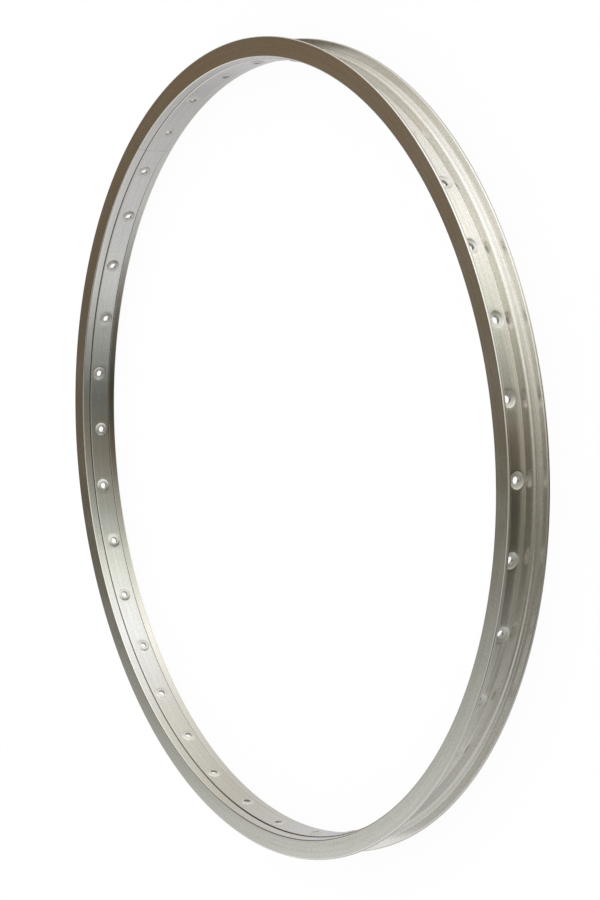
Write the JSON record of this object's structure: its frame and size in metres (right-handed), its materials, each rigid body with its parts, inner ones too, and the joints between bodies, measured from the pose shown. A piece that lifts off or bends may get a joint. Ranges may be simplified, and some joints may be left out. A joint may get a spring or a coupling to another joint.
{
  "type": "bicycle rim",
  "caption": "Bare aluminium bicycle rim for a 26 inch wheel: a wide single-bed hoop with a dropped well, leaning side walls and pressed, staggered spoke holes.",
  "frame": {"origin": "centre of the wheel, in the rim's middle plane", "axes": "+Z along the wheel's axis, up as the rim lies on its side; +X through the valve hole"},
  "size_m": [0.571, 0.571, 0.031],
  "materials": {
    "rim_metal": "satin silver, drawn along the hoop"
  },
  "bodies": {
    "root": {"rim": "rim_metal"}
  },
  "joints": []
}
